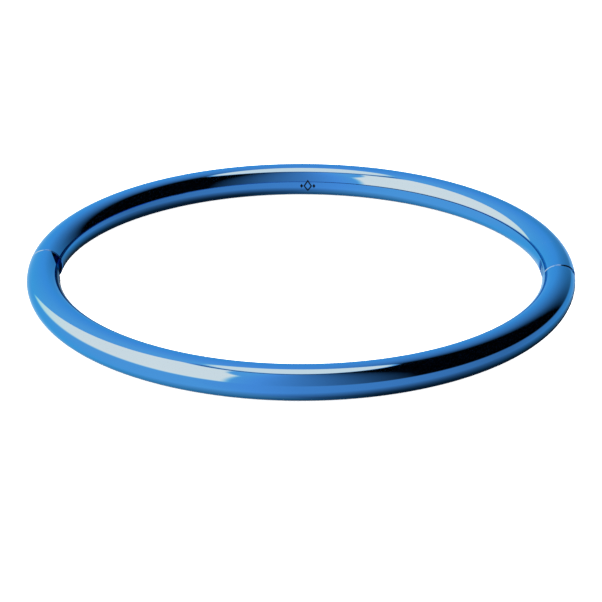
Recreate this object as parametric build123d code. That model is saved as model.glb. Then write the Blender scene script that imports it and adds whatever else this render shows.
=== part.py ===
"""Hinged bangle: two hollow half rings of round tube, a hidden hinge and a spring latch.

Millimetres. The origin is the centre of the ring and +Z is the ring's axis. The hinge is
at -X and the clasp is at +X. The back half (+Y) stands still and the front half (-Y) swings.
"""

from build123d import *

import os
from math import cos, radians, sin

# The ring
RING_R = 30.5  # centreline radius of the tube
TUBE_R = 2.0
WALL = 0.5
SEAM_Y = -0.67  # the plane where the two halves meet, at both ends
SEAM_GAP = 0.04
BRAZE = 0.02  # film between a plug and the bore that it is brazed into
FLUSH = 0.02  # how far a polished insert lies below the tube's surface
FAR = 40.0  # beyond the ring, for cutting blocks
TALL = 3.0  # beyond the tube's top and bottom, for cutting blocks

# The hinge, at -X
PIVOT_X = -31.5
PIVOT_Y = SEAM_Y - 3.0
PIN_R = 0.32
PIN_TOP = 1.2
PIN_RUNNING = 0.03
KNUCKLE_HALF = 0.60  # half the knuckle's thickness along Z
KNUCKLE_SLIP = 0.03
BOSS_R = 1.30
HEEL_R = 1.50
HEEL_END_DEG = -85.0  # the heel meets the web when the front half has opened 62 degrees
WEB_X = PIVOT_X + 1.38
SLOT_END_Y = SEAM_Y - 4.83
LOBE_RECESS = 0.32
LOBE_RISE = 0.35  # how far the lobe's free edge stays behind the pivot
BEVEL_START = 0.68  # from the centreline towards the wrist, at the seam
BEVEL_LENGTH = 4.0
BEVEL_PLUG_STEP = 0.45  # the plug is cut back further than the tube's rim
HINGE_PLUG_FRONT = 8.5
HINGE_PLUG_BACK = 6.0

# The clasp, at +X, in a frame turned so that its Y runs along the tongue's path
LATCH_TURN = 5.3
TONGUE = (0.15, 1.15)  # from the wrist side to the outer side
TONGUE_LENGTH = 5.5
TONGUE_HALF = 0.75
TONGUE_SLIP = 0.10
TONGUE_PLUG = 8.0
CATCH_PLUG = 8.5
SOCKET_LENGTH = 5.9
FLAT_X = -1.70  # the flat ground on the wrist side
FLAT_LENGTH = 4.8
WINDOW_START = 0.90  # behind the bridge that holds the pad
WINDOW_HALF = 0.72
PAD_START = 0.99
PAD_END = 4.40
PAD_HALF = 0.65
PAD_DEPTH = 0.04  # below the flat
LEAF_T = 0.20
LEAF_X = -1.02  # wrist side of the leaf's long leg
LEAF_START = 1.0
LEAF_HALF = 0.60
FOLD_Y = 5.0
SHORT_LEG_START = 3.4
CAVITY_X = -1.08
KEY_X = 1.0
KEY_LENGTH = 1.12
KEY_HALF = 0.80
KEY_SLIP = 0.10
RELIEF_START = 0.2  # from the centreline outwards, where the seam starts to open
RELIEF_WIDTH = 0.85  # how wide the seam is open at the tube's outer side
RIVET_Y = 4.2
RIVET_R = 0.22
RIVET_HEAD_R = 0.38
RIVET_HEAD_T = 0.12
RIVET_DEPTH = 0.60

BORE_R = TUBE_R - WALL
PLUG_R = BORE_R - BRAZE
BACK_END_Y = SEAM_Y + SEAM_GAP / 2
FRONT_END_Y = SEAM_Y - SEAM_GAP / 2
KNUCKLE_SLOT_HALF = KNUCKLE_HALF + KNUCKLE_SLIP
LATCH = Location((RING_R, SEAM_Y, 0), (0, 0, LATCH_TURN))


def block(x, y, z):
    """A box between pairs of limits."""
    size = [high - low for low, high in (x, y, z)]
    middle = [(high + low) / 2 for low, high in (x, y, z)]
    return Pos(*middle) * Box(*size)


def half_height(half):
    """The limits of something that is symmetric about the ring's mid-plane."""
    return (-half, half)


def ring(radius):
    """A full ring of round section."""
    return Torus(RING_R, radius)


def latch_block(x, y, half):
    """A box in the latch's own frame."""
    return LATCH * block(x, y, half_height(half))


def pin_bore(radius, bottom=-TALL, top=PIN_TOP):
    """A round bar along the hinge's axis."""
    return Pos(PIVOT_X, PIVOT_Y, (top + bottom) / 2) * Cylinder(radius, top - bottom)


def plate(outline, half):
    """A plate of the given plan, symmetric about the ring's mid-plane."""
    return extrude(outline, half, both=True)


def bevel(step=0.0):
    """The wedge cut off the front half's wrist side, where the knuckle's lobe lies."""
    start_x = -RING_R + BEVEL_START - step
    end_x = -RING_R + TUBE_R + 0.36 - step
    outline = Polygon(
        (start_x, FRONT_END_Y + 1.0),
        (start_x, FRONT_END_Y),
        (end_x, FRONT_END_Y - BEVEL_LENGTH),
        (end_x + 4.0, FRONT_END_Y - BEVEL_LENGTH),
        (end_x + 4.0, FRONT_END_Y + 1.0),
        align=None,
    )
    return plate(outline, TALL)


def knuckle_slot():
    """The slot in the front half that the knuckle turns in."""
    z = half_height(KNUCKLE_SLOT_HALF)
    below = block((-FAR, WEB_X), (SLOT_END_Y, PIVOT_Y + 0.1), z)
    above = block((-FAR, -RING_R / 2), (PIVOT_Y, SEAM_Y + 1.0), z)
    return below + above


def corner_relief():
    """What the front half's outer corner loses so that it rolls clear of the back half."""
    reach = FRONT_END_Y - PIVOT_Y
    corner = block((-FAR, PIVOT_X), (PIVOT_Y, SEAM_Y + 1.0), half_height(TALL))
    return corner - Pos(PIVOT_X, PIVOT_Y, 0) * Cylinder(reach, 2 * TALL)


def clasp_socket():
    """The way in for the tongue and its leaf."""
    inner, outer = TONGUE
    tongue = latch_block(
        (inner - TONGUE_SLIP, outer + TONGUE_SLIP),
        (-1.0, SOCKET_LENGTH),
        TONGUE_HALF + TONGUE_SLIP / 2,
    )
    leaf = latch_block((CAVITY_X, inner), (-1.0, SOCKET_LENGTH + 0.1), WINDOW_HALF)
    return tongue + leaf


def clasp_window():
    """The opening that shows the pad."""
    return latch_block((-3.0, CAVITY_X + 0.1), (WINDOW_START, FLAT_LENGTH), WINDOW_HALF)


def clasp_flat():
    """What is ground off the wrist side round the pad."""
    return latch_block((-3.0, FLAT_X), (-1.0, FLAT_LENGTH), TALL)


def key_notch():
    """The notch in the back half's outer wall that the key seats in."""
    return latch_block(
        (KEY_X - KEY_SLIP, 3.0), (-1.0, KEY_LENGTH + KEY_SLIP), KEY_HALF + KEY_SLIP
    )


def thumbnail_relief():
    """The wedge that opens the seam towards the outside, for a thumbnail."""
    outer_x = RING_R + TUBE_R
    outline = Polygon(
        (RING_R + RELIEF_START, BACK_END_Y),
        (RING_R + RELIEF_START, BACK_END_Y - 1.0),
        (outer_x, BACK_END_Y - 1.0),
        (outer_x, BACK_END_Y + RELIEF_WIDTH),
        align=None,
    )
    return plate(outline, TALL)


def make_back_tube():
    half = (ring(TUBE_R) - ring(BORE_R)) & block(
        half_height(FAR), (BACK_END_Y, FAR), half_height(TALL)
    )
    return half - clasp_window() - clasp_flat() - key_notch() - thumbnail_relief()


def make_back_hinge_plug():
    plug = ring(PLUG_R) & block((-FAR, 0), (BACK_END_Y, HINGE_PLUG_BACK), half_height(TALL))
    shank = block(
        (-FAR, PIVOT_X + BOSS_R), (PIVOT_Y, BACK_END_Y), half_height(KNUCKLE_HALF)
    )
    boss = Pos(PIVOT_X, PIVOT_Y, 0) * Cylinder(BOSS_R, 2 * KNUCKLE_HALF)
    heel_plan = Polygon(
        (0, 0),
        (3 * cos(radians(HEEL_END_DEG)), 3 * sin(radians(HEEL_END_DEG))),
        (-3, -3),
        (-3, 0),
        align=None,
    )
    heel = (Pos(PIVOT_X, PIVOT_Y, 0) * Cylinder(HEEL_R, 2 * KNUCKLE_HALF)) & plate(
        Pos(PIVOT_X, PIVOT_Y) * heel_plan, KNUCKLE_HALF
    )
    knuckle = (shank + boss + heel) & ring(TUBE_R - FLUSH)
    lobe_plan = Polygon(
        (PIVOT_X + 1.0, BACK_END_Y),
        (PIVOT_X + 1.0, PIVOT_Y + 1.0),
        (PIVOT_X + BOSS_R + 0.6, PIVOT_Y + LOBE_RISE),
        (PIVOT_X + 4.0, PIVOT_Y + LOBE_RISE),
        (PIVOT_X + 4.0, BACK_END_Y),
        align=None,
    )
    lobe = plate(lobe_plan, KNUCKLE_HALF) & ring(TUBE_R - LOBE_RECESS)
    return plug + knuckle + lobe - pin_bore(PIN_R + PIN_RUNNING, -TALL, TALL)


def make_catch_plug():
    plug = ring(PLUG_R) & block((0, FAR), (BACK_END_Y, CATCH_PLUG), half_height(TALL))
    return plug - clasp_socket() - clasp_window() - clasp_flat() - key_notch()


def make_front_tube():
    half = (ring(TUBE_R) - ring(BORE_R)) & block(
        half_height(FAR), (-FAR, FRONT_END_Y), half_height(TALL)
    )
    return half - bevel() - knuckle_slot() - corner_relief() - pin_bore(PIN_R)


def make_front_hinge_plug():
    plug = ring(PLUG_R) & block(
        (-FAR, 0), (-HINGE_PLUG_FRONT, FRONT_END_Y), half_height(TALL)
    )
    return plug - bevel(BEVEL_PLUG_STEP) - knuckle_slot() - corner_relief() - pin_bore(PIN_R)


def make_hinge_pin():
    return pin_bore(PIN_R) & ring(TUBE_R - FLUSH)


def make_tongue_plug():
    plug = ring(PLUG_R) & block((0, FAR), (-TONGUE_PLUG, FRONT_END_Y), half_height(TALL))
    tongue = latch_block(TONGUE, (-1.0, TONGUE_LENGTH), TONGUE_HALF)
    key = latch_block((KEY_X, 3.0), (-1.0, KEY_LENGTH), KEY_HALF)
    key = key & ring(TUBE_R - FLUSH) & block((0, FAR), (FRONT_END_Y, FAR), half_height(TALL))
    rivet_hole = LATCH * (
        Pos(TONGUE[0] + RIVET_DEPTH / 2, RIVET_Y, 0)
        * Rot(0, 90, 0)
        * Cylinder(RIVET_R, RIVET_DEPTH)
    )
    return plug + tongue + key - rivet_hole


def make_latch_leaf():
    """A strip folded at the tongue's tip, with its short leg riveted to the tongue."""
    inner, outer = LEAF_X, TONGUE[0]
    fold_r = (outer - inner) / 2
    height = 2 * LEAF_HALF
    fold = Cylinder(fold_r, height) - Cylinder(fold_r - LEAF_T, height)
    fold = Pos((inner + outer) / 2, FOLD_Y, 0) * fold
    fold = fold & block((-3.0, 3.0), (FOLD_Y, FOLD_Y + 2.0), half_height(LEAF_HALF))
    long_leg = block((inner, inner + LEAF_T), (LEAF_START, FOLD_Y), half_height(LEAF_HALF))
    short_leg = block(
        (outer - LEAF_T, outer), (SHORT_LEG_START, FOLD_Y), half_height(LEAF_HALF)
    )
    hole = Pos(outer - LEAF_T / 2, RIVET_Y, 0) * Rot(0, 90, 0) * Cylinder(RIVET_R, LEAF_T)
    return LATCH * (fold + long_leg + short_leg - hole)


def make_leaf_rivet():
    head_x = TONGUE[0] - LEAF_T - RIVET_HEAD_T
    length = TONGUE[0] + RIVET_DEPTH - head_x
    shank = Pos(head_x + length / 2, RIVET_Y, 0) * Rot(0, 90, 0) * Cylinder(RIVET_R, length)
    head = (
        Pos(head_x + RIVET_HEAD_T / 2, RIVET_Y, 0)
        * Rot(0, 90, 0)
        * Cylinder(RIVET_HEAD_R, RIVET_HEAD_T)
    )
    return LATCH * (shank + head)


def make_thumb_pad():
    return latch_block((FLAT_X + PAD_DEPTH, LEAF_X), (PAD_START, PAD_END), PAD_HALF)


PARTS = {
    "back_tube": make_back_tube,
    "back_hinge_plug": make_back_hinge_plug,
    "catch_plug": make_catch_plug,
    "front_tube": make_front_tube,
    "front_hinge_plug": make_front_hinge_plug,
    "hinge_pin": make_hinge_pin,
    "tongue_plug": make_tongue_plug,
    "latch_leaf": make_latch_leaf,
    "leaf_rivet": make_leaf_rivet,
    "thumb_pad": make_thumb_pad,
}

os.makedirs("parts", exist_ok=True)
for name, make in PARTS.items():
    export_step(make(), f"parts/{name}.step")
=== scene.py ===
import math

import bpy
import numpy as np
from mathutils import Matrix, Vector


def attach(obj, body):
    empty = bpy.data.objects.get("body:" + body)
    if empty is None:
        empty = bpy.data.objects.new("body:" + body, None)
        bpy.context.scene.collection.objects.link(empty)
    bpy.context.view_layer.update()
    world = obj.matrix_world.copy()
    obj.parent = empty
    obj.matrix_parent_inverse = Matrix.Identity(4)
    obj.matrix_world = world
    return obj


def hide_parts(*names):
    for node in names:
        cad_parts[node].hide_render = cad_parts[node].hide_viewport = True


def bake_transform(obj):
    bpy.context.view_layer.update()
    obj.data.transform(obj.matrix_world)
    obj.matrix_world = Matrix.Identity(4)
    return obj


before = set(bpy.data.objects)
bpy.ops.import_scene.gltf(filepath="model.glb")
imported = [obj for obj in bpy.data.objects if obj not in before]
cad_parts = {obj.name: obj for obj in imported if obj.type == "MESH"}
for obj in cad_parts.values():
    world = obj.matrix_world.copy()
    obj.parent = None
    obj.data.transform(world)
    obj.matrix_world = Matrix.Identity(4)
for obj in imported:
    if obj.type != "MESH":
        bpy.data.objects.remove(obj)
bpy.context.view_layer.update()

# ---------------------------------------------------------------------------------------------
# Sizes, in millimetres, from the CAD model, with a little more slip where pieces pass each
# other. Meshes are scaled to metres when they are made.
# ---------------------------------------------------------------------------------------------
MM = 0.001
RING_R = 30.5
TUBE_R = 2.0
BORE_R = 1.5
PLUG_R = 1.48
SEAM_Y = -0.67
BACK_END_Y = SEAM_Y + 0.02
FRONT_END_Y = SEAM_Y - 0.02
FLUSH_R = TUBE_R - 0.02
LAP = 0.1  # how far two parts of one solid, or two cutting shapes, run into each other

PIVOT = (-31.5, SEAM_Y - 3.0)
PIN_R = 0.32
PIN_SLIP = 0.03
PIN_HOLE_TOP = 1.10
KNUCKLE_HALF = 0.60
SLOT_HALF = 0.63
BOSS_R = 1.30
HEEL_R = 1.50
HEEL_END_DEG = -85.0
WEB_X = PIVOT[0] + 1.38
SLOT_END_Y = SEAM_Y - 4.83
NOTCH_LENGTH = 4.0
NOTCH_START = 0.34  # minus the cosine of the angle round the tube where the notch starts
NOTCH_STEP = 0.5  # how much farther the notch is cut back in the plug
FRONT_HINGE_PLUG_END_Y = -8.5
BACK_HINGE_PLUG_END_Y = 6.0
LOBE = (1.0, 4.0, 0.35)  # X from, X to and Y from, all from the pivot
LOBE_CORNER = (1.6, 1.2)  # X and slope of the line that cuts the lobe's corner off
LOBE_R = TUBE_R - 0.32

LATCH_TURN = math.radians(5.3)
TONGUE = (0.15, 1.15)
TONGUE_START = -1.0
TONGUE_LENGTH = 5.5
TONGUE_HALF = 0.75
SOCKET_LENGTH = 5.9
SOCKET_SIDE_SLIP = 0.05
CATCH_PLUG_END_Y = 8.5
TONGUE_PLUG_END_Y = -8.0
FLAT_X = -1.70
FLAT_LENGTH = 4.8
WINDOW_START = 0.86
WINDOW_HALF = 0.72
PAD = (FLAT_X + 0.04, -1.02, 0.99, 4.40, 0.65)  # X from, X to, Y from, Y to, half height
LEAF_T = 0.20
LEAF_X = -1.02
LEAF_START = 1.0
LEAF_HALF = 0.60
FOLD_Y = 5.0
FOLD_LAP = 0.01
SHORT_LEG_START = 3.4
CAVITY_X = -1.08
KEY_X = 1.0
KEY_LENGTH = 1.12
KEY_HALF = 0.80
KEY_SLIP = 0.10
RELIEF_START = 0.2  # from the centreline outwards, where the clasp's seam starts to open
RELIEF_WIDTH = 0.85  # how wide that seam is open at the tube's outer side

EDGE = 0.12  # rounding of the polished rims
SEAM_EDGE = 0.22  # rounding where the two halves meet
BORE_ROUNDING = 0.5  # rounding at the bore, as a share of the rounding outside
FINE_EDGE = 0.06
TINY_EDGE = 0.03
JOINT_FRONT_Y = -7.2  # where a modelled end meets the plain sweep of the half ring
JOINT_BACK_Y = 6.6
SLEEVE = 0.40  # how far a modelled end goes on inside the plain sweep
LEDGE = 0.0015  # how far a modelled end lies below the plain sweep where they meet
LEDGE_RUN = 1.5
SLEEVE_DROP = 0.06  # how far below it the modelled end lies at the end of its sleeve
SWEEP_LIP = 0.004  # rounding of the plain sweep's own edge there

MARK_DEG = 92.6  # where the mark is, round the ring
MARK_Z = -0.2
MARK_PROUD = 0.018
MARK_DEEP = 0.03
LOZENGE = (0.56, 0.85)  # half width and half height
LOZENGE_HOLE = (0.36, 0.55)
DOT = (0.20, 0.30)
DOT_ALONG = 0.80

# Mesh sizes.
VOXEL = 0.05
LEAF_VOXEL = 0.04
ROWS = 260
BORE_ROW_STEP = 4  # the bore has every fourth row
COLUMNS = 128
RIM_ROWS = 7

# The studio: lengths in millimetres, angles in degrees.
CAMERA_AZIMUTH = 4.36
CAMERA_ELEVATION = 23.85
CAMERA_DISTANCE = 288.1
CAMERA_AIM_Z = -3.94
CAMERA_LENS = 144.0
FLOOR_HALF = 3000.0
WHITE_LIGHT = 2.2
SOFT_BOX_LEVEL = 2.98
CEILING_LEVEL = 2.86
CEILING_TILT = 5.0  # how far the ceiling light's middle is behind the ring
# The painted contact shadow: a black sheet round the ring's foot that only reflections see.
SHADE_START = 1.5  # fully dark this near the line of contact
SHADE_END = 4.0
SHADE_REACH = 1.45  # how much wider the shade is on the side away from the soft box
SHADE_Z = -TUBE_R + 0.01
SHADE_DEPTH = 0.95
SHADE_SIDE = 0.62  # how much less dark it is on the side that faces the soft box
TOUCHING_DEPTH = 0.9
TOUCHING = (1.3, 0.6)  # not yet touching, touching
SOFT_BOX_SIDE = (-0.94, -0.34, 0.0)


# ---------------------------------------------------------------------------------------------
# Solids as signed distances: each function takes x, y, z arrays and is negative inside
# ---------------------------------------------------------------------------------------------
def smax(a, b, k):
    """The larger of two distances, with the edge between them rounded by about k."""
    return np.maximum(a, b) + np.maximum(k - np.abs(a - b), 0.0) ** 2 / (4.0 * k)


def cut(a, b, k):
    """a without b."""
    return smax(a, -b, k)


def join(a, b, k):
    return -smax(-a, -b, k)


def between(v, low, high):
    return np.maximum(low - v, v - high)


def tube(x, y, z, radius):
    return np.hypot(np.hypot(x, y) - RING_R, z) - radius


def inward(x, y, z):
    """Minus the cosine of the angle round the tube: 1 on the wrist side, -1 outside."""
    across = np.hypot(x, y) - RING_R
    return -across / np.maximum(np.hypot(across, z), 1e-6)


def latch_frame(x, y):
    """Coordinates along the clasp's tongue."""
    dx, dy = x - RING_R, y - SEAM_Y
    c, s = math.cos(LATCH_TURN), math.sin(LATCH_TURN)
    return c * dx + s * dy, c * dy - s * dx


def sleeved_wall(x, y, z, beyond):
    """The tube's wall, slightly thinner where it goes on inside the plain sweep."""
    thin = LEDGE * np.clip(1.0 + beyond / LEDGE_RUN, 0.0, 1.0) ** 2
    thin = thin + SLEEVE_DROP * np.clip(beyond / SLEEVE, 0.0, 1.0) ** 3
    return smax(tube(x, y, z, TUBE_R) + thin, thin - tube(x, y, z, BORE_R), FINE_EDGE)


def knuckle_slot(x, y, z):
    below = np.maximum(x - WEB_X, between(y, SLOT_END_Y, PIVOT[1] + LAP))
    above = PIVOT[1] - y
    return np.maximum(np.minimum(below, above), np.abs(z) - SLOT_HALF)


def notch(x, y, z, step=0.0):
    """The crescent cut back from the front half's end on the wrist side."""
    depth = NOTCH_LENGTH * (inward(x, y, z) - NOTCH_START) / (1.0 - NOTCH_START) + step
    return 0.5 * (FRONT_END_Y - depth - y)


def front_corner(x, y):
    """The relief of the front half's outer corner, which rolls past the back half."""
    dx, dy = x - PIVOT[0], y - PIVOT[1]
    outside = (FRONT_END_Y - PIVOT[1]) - np.hypot(dx, dy)
    return np.maximum(np.maximum(dx, -dy), outside)


def pin(x, y, radius):
    return np.hypot(x - PIVOT[0], y - PIVOT[1]) - radius


def front_tube_end(x, y, z):
    d = sleeved_wall(x, y, z, JOINT_FRONT_Y - y)
    d = smax(d, y - FRONT_END_Y, SEAM_EDGE)
    d = cut(d, notch(x, y, z), EDGE)
    d = cut(d, knuckle_slot(x, y, z), FINE_EDGE)
    d = cut(d, front_corner(x, y), EDGE)
    d = cut(d, np.maximum(pin(x, y, PIN_R), z - PIN_HOLE_TOP), TINY_EDGE)
    return smax(d, JOINT_FRONT_Y - SLEEVE - y, FINE_EDGE)


def front_hinge_plug(x, y, z):
    d = tube(x, y, z, PLUG_R)
    d = smax(d, y - FRONT_END_Y, FINE_EDGE)
    d = cut(d, notch(x, y, z, step=NOTCH_STEP), EDGE)
    d = cut(d, knuckle_slot(x, y, z), FINE_EDGE)
    d = cut(d, front_corner(x, y), FINE_EDGE)
    d = cut(d, np.maximum(pin(x, y, PIN_R), z - PIN_HOLE_TOP), FINE_EDGE)
    return smax(d, FRONT_HINGE_PLUG_END_Y - y, FINE_EDGE)


def back_hinge_plug(x, y, z):
    """The plug, and the flat knuckle: an arm with its heel outside, and a lobe inside."""
    dx, dy = x - PIVOT[0], y - PIVOT[1]
    plug = np.maximum(tube(x, y, z, PLUG_R), between(y, BACK_END_Y, BACK_HINGE_PLUG_END_Y))
    shank = np.maximum(dx - BOSS_R, between(y, PIVOT[1], BACK_END_Y + 2 * LAP))
    boss = np.hypot(dx, dy) - BOSS_R
    heel_line = math.radians(HEEL_END_DEG)
    heel = math.cos(heel_line) * dy - math.sin(heel_line) * dx
    heel = np.maximum(np.hypot(dx, dy) - HEEL_R, heel)
    heel = np.maximum(heel, np.maximum(dy, dx - LOBE[0]))
    plan = np.minimum(np.minimum(shank, boss), heel)
    arm = smax(plan, tube(x, y, z, FLUSH_R), FINE_EDGE)
    lobe = between(dy, LOBE[2], BACK_END_Y - PIVOT[1] + 2 * LAP)
    lobe = smax(between(dx, LOBE[0], LOBE[1]), lobe, FINE_EDGE)
    lobe = smax(lobe, LOBE_CORNER[0] - dx - dy * LOBE_CORNER[1], FINE_EDGE)
    lobe = smax(lobe, tube(x, y, z, LOBE_R), EDGE)
    plate = smax(join(arm, lobe, FINE_EDGE), np.abs(z) - KNUCKLE_HALF, EDGE)
    plate = np.maximum(plate, y - BACK_END_Y)
    return cut(np.minimum(plug, plate), pin(x, y, PIN_R + PIN_SLIP), TINY_EDGE)


def clasp_socket(lx, ly, z):
    """The way for the tongue, and the room beside it for the leaf."""
    inner, outer = TONGUE
    way = np.abs(z) - TONGUE_HALF - SOCKET_SIDE_SLIP
    way = np.maximum(between(lx, inner - LAP, outer + LAP), way)
    way = np.maximum(way, ly - SOCKET_LENGTH)
    leaf = np.maximum(between(lx, CAVITY_X, inner), np.abs(z) - WINDOW_HALF)
    leaf = np.maximum(leaf, ly - SOCKET_LENGTH - LAP)
    return np.minimum(way, leaf)


def clasp_window(lx, ly, z):
    return np.maximum(
        np.maximum(lx - CAVITY_X - LAP, np.abs(z) - WINDOW_HALF),
        between(ly, WINDOW_START, FLAT_LENGTH),
    )


def clasp_flat(lx, ly):
    return np.maximum(lx - FLAT_X, ly - FLAT_LENGTH)


def key_notch(lx, ly, z):
    return np.maximum(
        np.maximum(KEY_X - KEY_SLIP - lx, np.abs(z) - KEY_HALF - KEY_SLIP),
        ly - KEY_LENGTH - KEY_SLIP,
    )


def back_tube_end(x, y, z):
    lx, ly = latch_frame(x, y)
    d = sleeved_wall(x, y, z, y - JOINT_BACK_Y)
    slope = RELIEF_WIDTH / (TUBE_R - RELIEF_START)
    relief = slope * np.maximum(x - RING_R - RELIEF_START, 0.0)
    d = smax(d, BACK_END_Y + relief - y, SEAM_EDGE)
    d = cut(d, clasp_flat(lx, ly), FINE_EDGE)
    d = cut(d, clasp_window(lx, ly, z), FINE_EDGE)
    d = cut(d, key_notch(lx, ly, z), FINE_EDGE)
    return smax(d, y - JOINT_BACK_Y - SLEEVE, FINE_EDGE)


def catch_plug(x, y, z):
    lx, ly = latch_frame(x, y)
    d = smax(tube(x, y, z, PLUG_R), between(y, BACK_END_Y, CATCH_PLUG_END_Y), FINE_EDGE)
    d = cut(d, clasp_flat(lx, ly), FINE_EDGE)
    d = cut(d, clasp_window(lx, ly, z), FINE_EDGE)
    d = cut(d, clasp_socket(lx, ly, z), FINE_EDGE)
    return cut(d, key_notch(lx, ly, z), FINE_EDGE)


def tongue_plug(x, y, z):
    """The plug, the tongue and the key that lines the halves up."""
    lx, ly = latch_frame(x, y)
    plug = smax(tube(x, y, z, PLUG_R), between(y, TONGUE_PLUG_END_Y, FRONT_END_Y), FINE_EDGE)
    tongue = smax(between(lx, *TONGUE), np.abs(z) - TONGUE_HALF, EDGE)
    tongue = smax(tongue, between(ly, TONGUE_START, TONGUE_LENGTH), EDGE)
    key = smax(tube(x, y, z, FLUSH_R), np.abs(z) - KEY_HALF, FINE_EDGE)
    key = smax(key, KEY_X - lx, FINE_EDGE)
    key = smax(key, ly - KEY_LENGTH, FINE_EDGE)
    key = np.maximum(key, FRONT_END_Y - y)
    return join(plug, join(tongue, key, FINE_EDGE), FINE_EDGE)


def thumb_pad(x, y, z):
    lx, ly = latch_frame(x, y)
    x0, x1, y0, y1, half = PAD
    d = smax(between(lx, x0, x1), np.abs(z) - half, EDGE)
    return smax(d, between(ly, y0, y1), EDGE)


def latch_leaf(x, y, z):
    """A strip folded back on itself: a long leg under the pad, a short one on the tongue."""
    lx, ly = latch_frame(x, y)
    middle = (LEAF_X + TONGUE[0]) / 2
    radius = (TONGUE[0] - LEAF_X) / 2 - LEAF_T / 2
    fold = np.abs(np.hypot(lx - middle, ly - FOLD_Y) - radius) - LEAF_T / 2
    fold = np.maximum(fold, FOLD_Y - ly)
    end = FOLD_Y + FOLD_LAP
    long_leg = np.maximum(between(lx, LEAF_X, LEAF_X + LEAF_T), between(ly, LEAF_START, end))
    short_leg = between(lx, TONGUE[0] - LEAF_T, TONGUE[0])
    short_leg = np.maximum(short_leg, between(ly, SHORT_LEG_START, end))
    d = np.minimum(np.minimum(long_leg, short_leg), fold)
    return smax(d, np.abs(z) - LEAF_HALF, TINY_EDGE)


# ---------------------------------------------------------------------------------------------
# Meshes
# ---------------------------------------------------------------------------------------------
def gradient(f, p, step=1e-4):
    out = np.empty_like(p)
    for axis in range(3):
        q = p.copy()
        q[:, axis] += step
        high = f(*q.T)
        q[:, axis] -= 2 * step
        out[:, axis] = (high - f(*q.T)) / (2 * step)
    return out


def settle(f, p, rounds=4, reach=0.05):
    """Moves points onto the surface along the gradient, and gives the normals there."""
    for _ in range(rounds):
        g = gradient(f, p)
        square = np.maximum((g * g).sum(1), 1e-6)
        p = p - np.clip(f(*p.T) / square, -reach, reach)[:, None] * g
    g = gradient(f, p)
    return p, g / np.maximum(np.linalg.norm(g, axis=1), 1e-9)[:, None]


def surface_mesh(f, low, high, voxel):
    """The surface of a solid within a box: one vertex per crossed cell, one face per edge."""
    axes = [np.arange(a, b + voxel, voxel) for a, b in zip(low, high)]
    grid = np.meshgrid(*axes, indexing="ij")
    value = f(*grid)
    inside = value < 0
    cells = tuple(n - 1 for n in value.shape)
    total = np.zeros(cells + (3,))
    count = np.zeros(cells)
    faces = []
    edges = []
    for axis in range(3):
        first = [slice(None)] * 3
        second = [slice(None)] * 3
        first[axis], second[axis] = slice(0, -1), slice(1, None)
        a, b = value[tuple(first)], value[tuple(second)]
        crossed = inside[tuple(first)] != inside[tuple(second)]
        at = np.argwhere(crossed)
        share = a[crossed] / (a[crossed] - b[crossed])
        point = at.astype(float)
        point[:, axis] += share
        edges.append((axis, at, inside[tuple(first)][crossed]))
        u, v = [k for k in range(3) if k != axis]
        for du in (0, 1):
            for dv in (0, 1):
                cell = at.copy()
                cell[:, u] -= du
                cell[:, v] -= dv
                good = ((cell >= 0) & (cell < cells)).all(1)
                np.add.at(total, tuple(cell[good].T), point[good])
                np.add.at(count, tuple(cell[good].T), 1.0)
    index = np.full(cells, -1)
    active = count > 0
    index[active] = np.arange(active.sum())
    points = total[active] / count[active][:, None] * voxel + np.array([a[0] for a in axes])
    for axis, at, starts_inside in edges:
        u, v = [(1, 2), (2, 0), (0, 1)][axis]
        corner = []
        for du, dv in ((0, 0), (1, 0), (1, 1), (0, 1)):
            cell = at.copy()
            cell[:, u] -= du
            cell[:, v] -= dv
            corner.append(cell)
        good = np.all([((c >= 0) & (c < cells)).all(1) for c in corner], axis=0)
        quad = np.stack([index[tuple(c[good].T)] for c in corner], axis=1)
        flip = ~starts_inside[good]
        quad[flip] = quad[flip][:, ::-1]
        faces.append(quad)
    points, normals = settle(f, points)
    return points, np.concatenate(faces).tolist(), normals


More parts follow.
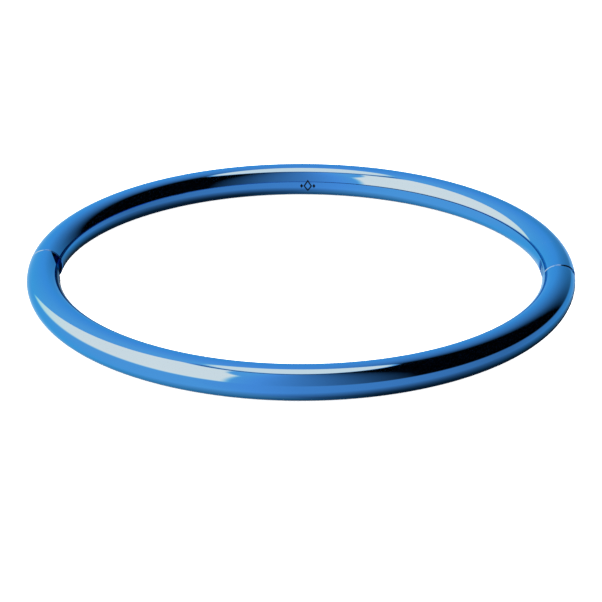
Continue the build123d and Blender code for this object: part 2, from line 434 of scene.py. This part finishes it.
def swept_mesh(a, b, rows, columns):
    """A plain stretch of hollow tube between two planes of constant y on either side of x = 0.

    An end is (side of x, y, rounding, the y direction of its end face's normal). The wall goes
    along the outside, over one end face, back through the bore and over the other end face, so
    the mesh is closed.
    """
    th = np.linspace(0.0, 2 * math.pi, columns, endpoint=False)

    def angle(end, y, radius):
        across = RING_R + radius * np.cos(th)
        phi = np.arcsin(np.clip(y / across, -1, 1))
        return phi if end[0] > 0 else math.pi - phi

    def place(phi, radius):
        across = RING_R + radius * np.cos(th)
        return np.stack([across * np.cos(phi), across * np.sin(phi), radius * np.sin(th)], 1)

    def normal(phi, sign):
        return sign * np.stack([np.cos(th) * np.cos(phi), np.cos(th) * np.sin(phi), np.sin(th)], 1)

    def rim(end, radius, rounding, outside):
        """Rows round the edge of an end face; outside is 1 for the wall and -1 for the bore."""
        along = end[3]
        out = []
        for bend in np.linspace(0.0, 0.5 * math.pi, RIM_ROWS):
            c, s = math.cos(bend), math.sin(bend)
            r = radius - rounding * (1 - c) * outside
            phi = angle(end, end[1] - along * rounding * (1 - s), r)
            flat = np.zeros((columns, 3))
            flat[:, 1] = along
            out.append((place(phi, r), c * normal(phi, outside) + s * flat))
        return out

    def stretch(radius, outside):
        pa = angle(a, a[1] - a[3] * a[2], radius)
        pb = angle(b, b[1] - b[3] * b[2], radius)
        pb = np.where(pb < pa, pb + 2 * math.pi, pb)
        return [
            (place(pa + (pb - pa) * t, radius), normal(pa + (pb - pa) * t, outside))
            for t in np.linspace(0, 1, rows)[1:-1]
        ]

    profile = rim(a, TUBE_R, a[2], 1.0)[::-1]
    profile += stretch(TUBE_R, 1.0)
    profile += rim(b, TUBE_R, b[2], 1.0)
    profile += rim(b, BORE_R, b[2] * BORE_ROUNDING, -1.0)[::-1]
    profile += stretch(BORE_R, -1.0)[::-BORE_ROW_STEP]
    profile += rim(a, BORE_R, a[2] * BORE_ROUNDING, -1.0)
    points = np.concatenate([p for p, _ in profile])
    normals = np.concatenate([n for _, n in profile])
    normals /= np.linalg.norm(normals, axis=1)[:, None]
    n = len(profile)
    i, j = np.meshgrid(np.arange(n), np.arange(columns), indexing="ij")
    i2, j2 = (i + 1) % n, (j + 1) % columns
    quads = np.stack(
        [i * columns + j, i2 * columns + j, i2 * columns + j2, i * columns + j2], -1
    ).reshape(-1, 4)
    return points, quads.tolist(), normals


def inlay(outer, inner=None, steps=4):
    """A thin closed inlay on the back half's wrist side, in the mark's own plane.

    outer and inner are outlines of (along, up) corners; without inner the inlay has no hole.
    """
    def divided(outline):
        corners = np.array(outline)
        ends = np.roll(corners, -1, axis=0)
        share = np.linspace(0.0, 1.0, steps, endpoint=False)[None, :, None]
        return (corners[:, None] + share * (ends - corners)[:, None]).reshape(-1, 2)

    def placed(flat, radius):
        phi = math.radians(MARK_DEG) - flat[:, 0] / (RING_R - TUBE_R)
        turn = (flat[:, 1] + MARK_Z) / TUBE_R
        out = np.stack([-np.cos(turn) * np.cos(phi), -np.cos(turn) * np.sin(phi), np.sin(turn)], 1)
        centre = RING_R * np.stack([np.cos(phi), np.sin(phi), 0 * phi], 1)
        return centre + radius * out, out

    rim = divided(outer)
    core = divided(inner) if inner else rim.mean(0)[None]
    flat = np.concatenate([rim, core])
    top, up = placed(flat, TUBE_R + MARK_PROUD)
    bottom, _ = placed(flat, TUBE_R - MARK_DEEP)
    n, total = len(rim), len(flat)
    k = np.arange(n)
    j = (k + 1) % n
    walls = [np.stack([j, k, total + k, total + j], 1)]
    if inner:
        cap = np.stack([k, j, n + j, n + k], 1)
        walls.append(np.stack([n + k, n + j, total + n + j, total + n + k], 1))
    else:
        cap = np.stack([k, j, np.full(n, n)], 1)
    faces = cap.tolist() + (cap[:, ::-1] + total).tolist()
    for wall in walls:
        faces += wall.tolist()
    return np.concatenate([top, bottom]), faces, np.concatenate([up, -up])


def lozenge(half_width, half_height, along=0.0):
    """The outline of a lozenge, as (along, up) corners."""
    side = [(along - half_width, 0.0), (along, -half_height)]
    return side + [(along + half_width, 0.0), (along, half_height)]


def make_piece(name, parts, material):
    """One object from parts of (points, faces, normals) in millimetres."""
    points, faces, normals = [], [], []
    offset = 0
    for p, f, n in parts:
        points.append(p)
        faces += [[v + offset for v in face] for face in f]
        normals.append(n)
        offset += len(p)
    points = np.concatenate(points) * MM
    normals = np.concatenate(normals)
    mesh = bpy.data.meshes.new(name)
    mesh.from_pydata(points.tolist(), [], faces)
    mesh.polygons.foreach_set("use_smooth", np.ones(len(faces), bool))
    mesh.materials.append(material)
    mesh.update()
    mesh.normals_split_custom_set_from_vertices(normals.tolist())
    piece = bpy.data.objects.new(name, mesh)
    bpy.context.scene.collection.objects.link(piece)
    return piece


# ---------------------------------------------------------------------------------------------
# Shader nodes
# ---------------------------------------------------------------------------------------------
class Tree:
    """Short ways to add nodes to a node tree; a value may be a number or another node's output."""

    def __init__(self, tree):
        self.nodes, self.links = tree.nodes, tree.links

    def feed(self, socket, value):
        if isinstance(value, (int, float, tuple)):
            socket.default_value = value
        else:
            self.links.new(value, socket)

    def add(self, kind, **inputs):
        node = self.nodes.new(kind)
        for name, value in inputs.items():
            self.feed(node.inputs[name.replace("_", " ")], value)
        return node

    def compute(self, operation, a, b=0.0):
        node = self.nodes.new("ShaderNodeMath")
        node.operation = operation
        self.feed(node.inputs[0], a)
        self.feed(node.inputs[1], b)
        return node.outputs[0]

    def vector(self, operation, a, b=(0.0, 0.0, 0.0)):
        node = self.nodes.new("ShaderNodeVectorMath")
        node.operation = operation
        self.feed(node.inputs[0], a)
        self.feed(node.inputs[1], b)
        return node.outputs["Value" if operation in ("LENGTH", "DOT_PRODUCT") else "Vector"]

    def rise(self, value, low, high, interpolation="SMOOTHSTEP"):
        """0 below low, 1 above high."""
        node = self.add("ShaderNodeMapRange", Value=value, From_Min=low, From_Max=high)
        node.interpolation_type = interpolation
        return node.outputs["Result"]

    def mix(self, factor, a, b):
        """a where factor is 0, b where it is 1."""
        node = self.nodes.new("ShaderNodeMix")
        node.data_type = "FLOAT"
        self.feed(node.inputs["Factor"], factor)
        self.feed(node.inputs["A"], a)
        self.feed(node.inputs["B"], b)
        return node.outputs["Result"]

    def levels(self, value, *stops):
        """Follows (value, level) stops, none of them above 2."""
        low, high = stops[0][0], stops[-1][0]
        node = self.add("ShaderNodeValToRGB", Fac=self.rise(value, low, high, "LINEAR"))
        elements = node.color_ramp.elements
        for k, (at, level) in enumerate(stops):
            place = (at - low) / (high - low)
            element = elements[k] if k < 2 else elements.new(place)
            element.position = place
            element.color = (level / 2, level / 2, level / 2, 1)
        return self.compute("MULTIPLY", node.outputs["Color"], 2.0)


# ---------------------------------------------------------------------------------------------
# Materials
# ---------------------------------------------------------------------------------------------
def new_material(name):
    material = bpy.data.materials.new(name)
    material.use_nodes = True
    nodes = material.node_tree.nodes
    return material, nodes, material.node_tree.links, nodes["Principled BSDF"]


def coated_metal(name, colour, deep, rough, scratch, edge=(1.0, 1.0, 1.0)):
    """Polished metal under a transparent colour: a slow drift of tone, faint polishing marks.

    edge tints the reflection at a grazing angle.
    """
    material, nodes, links, shader = new_material(name)
    where = nodes.new("ShaderNodeTexCoord")
    drift = nodes.new("ShaderNodeTexNoise")
    drift.inputs["Scale"].default_value = 90.0
    drift.inputs["Detail"].default_value = 2.0
    links.new(where.outputs["Object"], drift.inputs["Vector"])
    tone = nodes.new("ShaderNodeMix")
    tone.data_type = "RGBA"
    tone.inputs["A"].default_value = (*deep, 1)
    tone.inputs["B"].default_value = (*colour, 1)
    links.new(drift.outputs["Fac"], tone.inputs["Factor"])
    links.new(tone.outputs["Result"], shader.inputs["Base Color"])
    marks = nodes.new("ShaderNodeTexNoise")
    marks.inputs["Scale"].default_value = 2400.0
    marks.inputs["Detail"].default_value = 4.0
    links.new(where.outputs["Object"], marks.inputs["Vector"])
    gloss = nodes.new("ShaderNodeMapRange")
    gloss.inputs["To Min"].default_value = rough
    gloss.inputs["To Max"].default_value = rough + scratch
    links.new(marks.outputs["Fac"], gloss.inputs["Value"])
    links.new(gloss.outputs["Result"], shader.inputs["Roughness"])
    shader.inputs["Metallic"].default_value = 1.0
    shader.inputs["Specular Tint"].default_value = (*edge, 1)
    return material


BLUE = (0.053, 0.238, 0.630)
DEEP_BLUE = (0.048, 0.226, 0.606)
BLUE_EDGE = (0.45, 0.74, 0.90)
blue_polish = coated_metal("blue_polish", BLUE, DEEP_BLUE, 0.035, 0.03, BLUE_EDGE)
# Painted shade: the inner pieces take a darker copy of the blue coating, so the notch, slot and
# window look shaded.
SHADED_INSERT_BLUE = (0.022, 0.125, 0.330)
DEEP_SHADED_INSERT_BLUE = (0.016, 0.098, 0.270)
INSERT_EDGE = (0.09, 0.42, 0.78)
blue_insert = coated_metal("blue_insert", SHADED_INSERT_BLUE, DEEP_SHADED_INSERT_BLUE, 0.10, 0.06, INSERT_EDGE)
BLUED_STEEL = (0.014, 0.036, 0.062)
DEEP_BLUED_STEEL = (0.010, 0.028, 0.050)
spring_steel = coated_metal("spring_steel", BLUED_STEEL, DEEP_BLUED_STEEL, 0.22, 0.1, INSERT_EDGE)
pin_steel = coated_metal("pin_steel", (0.60, 0.61, 0.63), (0.55, 0.56, 0.58), 0.2, 0.1)
mark_black = coated_metal("mark_black", (0.006, 0.010, 0.018), (0.004, 0.006, 0.012), 0.5, 0.2)


# ---------------------------------------------------------------------------------------------
# The pieces
# ---------------------------------------------------------------------------------------------
def dress(piece, body, node):
    """The piece moves with the body and takes the place of the CAD node."""
    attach(piece, body)
    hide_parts(node)


LEFT, RIGHT = -1, 1
front_end = surface_mesh(
    front_tube_end, (-33.0, JOINT_FRONT_Y - 0.5, -2.2), (-27.4, FRONT_END_Y + 0.2, 2.2), VOXEL
)
back_end = surface_mesh(
    back_tube_end, (27.4, BACK_END_Y - 0.2, -2.2), (33.0, JOINT_BACK_Y + 0.5, 2.2), VOXEL
)
front_sweep = swept_mesh(
    (LEFT, JOINT_FRONT_Y, SWEEP_LIP, 1.0), (RIGHT, FRONT_END_Y, EDGE, 1.0), ROWS, COLUMNS
)
back_sweep = swept_mesh(
    (RIGHT, JOINT_BACK_Y, SWEEP_LIP, -1.0), (LEFT, BACK_END_Y, EDGE, -1.0), ROWS, COLUMNS
)
front_shell = make_piece("front_half_tube", [front_sweep, front_end], blue_polish)
back_shell = make_piece("back_half_tube", [back_sweep, back_end], blue_polish)
dress(front_shell, "front_half", "front_tube")
dress(back_shell, "back_half", "back_tube")

# Name, shape, CAD node, body, and the corners of the box that holds the piece.
INSERTS = [
    (
        "hinge_ears", front_hinge_plug, "front_hinge_plug", "front_half",
        (-33.0, -8.8, -1.7), (-28.0, -0.5, 1.7),
    ),
    (
        "hinge_knuckle", back_hinge_plug, "back_hinge_plug", "back_half",
        (-33.2, -5.6, -1.7), (-27.4, 6.3, 1.7),
    ),
    (
        "catch_block", catch_plug, "catch_plug", "back_half",
        (28.0, -0.9, -1.7), (32.4, 8.8, 1.7),
    ),
    (
        "tongue_block", tongue_plug, "tongue_plug", "front_half",
        (28.0, -8.3, -1.7), (32.8, 5.4, 1.7),
    ),
    (
        "release_pad", thumb_pad, "thumb_pad", "release_pad",
        (28.2, -0.2, -0.8), (29.6, 4.2, 0.8),
    ),
]
# The inner pieces get the darker blue, which paints shade into the recesses.
for name, shape, node, body, low, high in INSERTS:
    piece = make_piece(name, [surface_mesh(shape, low, high, VOXEL)], blue_insert)
    dress(piece, body, node)

leaf_mesh = surface_mesh(latch_leaf, (28.4, -0.2, -0.7), (31.0, 5.6, 0.7), LEAF_VOXEL)
leaf = make_piece("folded_leaf", [leaf_mesh], spring_steel)
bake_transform(leaf)
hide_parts("latch_leaf")

marks = [
    inlay(lozenge(*LOZENGE), lozenge(*LOZENGE_HOLE)),
    inlay(lozenge(*DOT, -DOT_ALONG)),
    inlay(lozenge(*DOT, DOT_ALONG)),
]
mark = make_piece("lozenge_mark", marks, mark_black)
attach(mark, "back_half")

for node in ("hinge_pin", "leaf_rivet"):
    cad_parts[node].data.materials.clear()
    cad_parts[node].data.materials.append(pin_steel)

# ---------------------------------------------------------------------------------------------
# Floor, light and camera
# ---------------------------------------------------------------------------------------------
FLOOR_Z = -TUBE_R * MM
SQUARE = [(-1, -1), (1, -1), (1, 1), (-1, 1)]
floor_mesh = bpy.data.meshes.new("studio_floor")
floor_corners = [(sx * FLOOR_HALF * MM, sy * FLOOR_HALF * MM, FLOOR_Z) for sx, sy in SQUARE]
floor_mesh.from_pydata(floor_corners, [], [(0, 1, 2, 3)])
floor = bpy.data.objects.new("studio_floor", floor_mesh)
bpy.context.scene.collection.objects.link(floor)
floor_material, _, _, floor_shader = new_material("studio_floor")
floor_shader.inputs["Base Color"].default_value = (0.93, 0.93, 0.93, 1)
floor_shader.inputs["Roughness"].default_value = 0.9
floor_shader.inputs["Specular IOR Level"].default_value = 0.0
floor_shader.inputs["Emission Color"].default_value = (1, 1, 1, 1)
floor_shader.inputs["Emission Strength"].default_value = 0.8  # a table top lit from below
floor_mesh.materials.append(floor_material)
floor.visible_glossy = False


def studio_world():
    """White light all round; the polished metal mirrors a studio of soft boxes and flags."""
    world = bpy.data.worlds.new("studio")
    bpy.context.scene.world = world
    world.use_nodes = True
    world.node_tree.nodes.clear()
    t = Tree(world.node_tree)

    direction = t.add("ShaderNodeTexCoord").outputs["Generated"]
    rotation = (0, 0, -math.radians(CAMERA_AZIMUTH))
    turn = t.add("ShaderNodeMapping", Vector=direction, Rotation=rotation)
    split = t.add("ShaderNodeSeparateXYZ", Vector=turn.outputs["Vector"])
    x, y, z = (split.outputs[k] for k in range(3))
    # Degrees round the studio, 0 behind the camera and 90 on its right, degrees of height, and
    # degrees away from the middle of the ceiling light.
    degrees = 180 / math.pi
    around = t.compute("MULTIPLY", t.compute("ARCTAN2", x, t.compute("MULTIPLY", y, -1.0)), degrees)
    height = t.compute("MULTIPLY", t.compute("ARCSINE", z), degrees)
    tilt = math.radians(CEILING_TILT)
    ceiling_axis = (0.0, math.sin(tilt), math.cos(tilt))
    overhead = t.vector("DOT_PRODUCT", turn.outputs["Vector"], ceiling_axis)
    off_ceiling = t.compute("MULTIPLY", t.compute("ARCCOSINE", overhead), degrees)

    wall = t.levels(
        around,
        (-180, 1.0), (-135, 1.3), (-30, 1.3), (0, 0.70), (30, 0.20), (46, 0.0),
        (126, 0.0), (150, 0.5), (180, 1.0),
    )
    table = t.levels(
        around,
        (-180, 1.1), (-120, 1.25), (-45, 1.25), (0, 0.9), (90, 0.56), (180, 1.1),
    )
    level = t.mix(t.rise(height, -3, 3), table, wall)

    # The soft box on the left: its far side leans and its near side turns in at the top.
    lean = t.compute("SUBTRACT", around, t.compute("MULTIPLY", height, 0.55))
    high_part = t.compute("MAXIMUM", t.compute("SUBTRACT", height, 45.0), 0.0)
    near_side = t.rise(t.compute("ADD", around, high_part), -32, -27)
    box = t.compute("SUBTRACT", t.rise(lean, -138, -136.5), near_side)
    box = t.compute("MULTIPLY", box, t.rise(height, -3, 5))
    box = t.compute("MULTIPLY", box, t.rise(off_ceiling, 23, 25))
    level = t.mix(box, level, SOFT_BOX_LEVEL)

    # The ceiling light, with a dark gap round it on the camera's side.
    gap = t.compute("SUBTRACT", t.rise(off_ceiling, 18.5, 20), t.rise(off_ceiling, 21.5, 24))
    gap = t.compute("MULTIPLY", gap, t.rise(y, 0.15, 0.0))
    level = t.mix(t.compute("MULTIPLY", gap, 0.8), level, 0.0)
    level = t.mix(t.rise(off_ceiling, 19, 16), level, CEILING_LEVEL)

    # A bright light looks white in the metal, a dim one takes the metal's own colour.
    glare = t.compute("POWER", t.compute("MAXIMUM", t.compute("SUBTRACT", level, 1.35), 0.0), 1.63)
    red = t.compute("ADD", level, t.compute("MULTIPLY", glare, 3.84))
    most_blue = t.compute("ADD", t.compute("MULTIPLY", level, 0.06), 1.045)
    blue = t.compute("MINIMUM", t.compute("MULTIPLY", level, 1.05), most_blue)
    colour = t.add("ShaderNodeCombineColor", Red=red, Green=level, Blue=blue)

    studio = t.add("ShaderNodeBackground", Color=colour.outputs["Color"])
    plain = t.add("ShaderNodeBackground", Color=(1.0, 1.0, 1.0, 1.0), Strength=WHITE_LIGHT)
    choose = t.nodes.new("ShaderNodeMixShader")
    t.feed(choose.inputs[0], t.add("ShaderNodeLightPath").outputs["Is Glossy Ray"])
    t.feed(choose.inputs[1], plain.outputs["Background"])
    t.feed(choose.inputs[2], studio.outputs["Background"])
    t.add("ShaderNodeOutputWorld", Surface=choose.outputs["Shader"])


def contact_shade():
    """A painted shadow: a black sheet round the ring's foot, seen only in reflections, for the dark
    line where the ring touches the table, as the polished metal mirrors it.
    """
    steps = 180
    turn = np.linspace(0.0, 2 * math.pi, steps, endpoint=False)
    reach = SHADE_END * SHADE_REACH
    rings = [
        np.stack([r * np.cos(turn), r * np.sin(turn), np.full(steps, SHADE_Z)], 1)
        for r in (RING_R - reach, RING_R + reach)
    ]
    k = np.arange(steps)
    j = (k + 1) % steps
    mesh = bpy.data.meshes.new("contact_shade")
    faces = np.stack([k, k + steps, j + steps, j], 1)
    mesh.from_pydata((np.concatenate(rings) * MM).tolist(), [], faces.tolist())
    shade = bpy.data.objects.new("contact_shade", mesh)
    bpy.context.scene.collection.objects.link(shade)
    shade.visible_camera = shade.visible_diffuse = shade.visible_shadow = False
    shade.visible_transmission = shade.visible_volume_scatter = False

    material = bpy.data.materials.new("contact_shade")
    material.use_nodes = True
    material.node_tree.nodes.clear()
    t = Tree(material.node_tree)
    place = t.vector("MULTIPLY", t.add("ShaderNodeTexCoord").outputs["Object"], (1.0, 1.0, 0.0))
    radius = t.vector("LENGTH", place)
    outward = t.compute("SUBTRACT", radius, RING_R * MM)
    # 1 on the side of the tube that faces the soft box, -1 on the other side.
    facing = t.compute("DIVIDE", t.vector("DOT_PRODUCT", place, SOFT_BOX_SIDE), radius)
    facing = t.compute("MULTIPLY", facing, t.compute("SIGN", outward))
    widen = t.compute("SUBTRACT", 1.0, t.compute("MULTIPLY", facing, SHADE_REACH - 1.0))
    distance = t.compute("DIVIDE", t.compute("ABSOLUTE", outward), widen)
    near = t.rise(distance, SHADE_END * MM, SHADE_START * MM, "LINEAR")
    depth = t.compute("SUBTRACT", SHADE_DEPTH, t.compute("MULTIPLY", facing, SHADE_SIDE))
    depth = t.compute("MULTIPLY", near, t.compute("MINIMUM", depth, SHADE_DEPTH))
    touching = t.rise(t.compute("ABSOLUTE", outward), TOUCHING[0] * MM, TOUCHING[1] * MM)
    depth = t.compute("MAXIMUM", depth, t.compute("MULTIPLY", touching, TOUCHING_DEPTH))
    # Painted shadow: black, mixed in as deep as the shade is at each place.
    black = t.add("ShaderNodeEmission", Color=(0.0, 0.0, 0.0, 1.0))
    choose = t.nodes.new("ShaderNodeMixShader")
    t.feed(choose.inputs[0], depth)
    t.feed(choose.inputs[1], t.add("ShaderNodeBsdfTransparent").outputs["BSDF"])
    t.feed(choose.inputs[2], black.outputs["Emission"])
    t.add("ShaderNodeOutputMaterial", Surface=choose.outputs["Shader"])
    mesh.materials.append(material)


contact_shade()
studio_world()

camera_data = bpy.data.cameras.new("camera")
camera_data.lens = CAMERA_LENS
camera_data.sensor_width = 36.0
camera_data.clip_start = 0.01
camera = bpy.data.objects.new("camera", camera_data)
azimuth, elevation = math.radians(CAMERA_AZIMUTH), math.radians(CAMERA_ELEVATION)
back = Vector(
    (
        math.sin(azimuth) * math.cos(elevation),
        -math.cos(azimuth) * math.cos(elevation),
        math.sin(elevation),
    )
)
camera.location = (Vector((0, 0, CAMERA_AIM_Z)) + CAMERA_DISTANCE * back) * MM
camera.rotation_euler = (math.radians(90 - CAMERA_ELEVATION), 0, azimuth)
bpy.context.scene.collection.objects.link(camera)
bpy.context.scene.camera = camera
bpy.context.scene.view_settings.view_transform = "Standard"
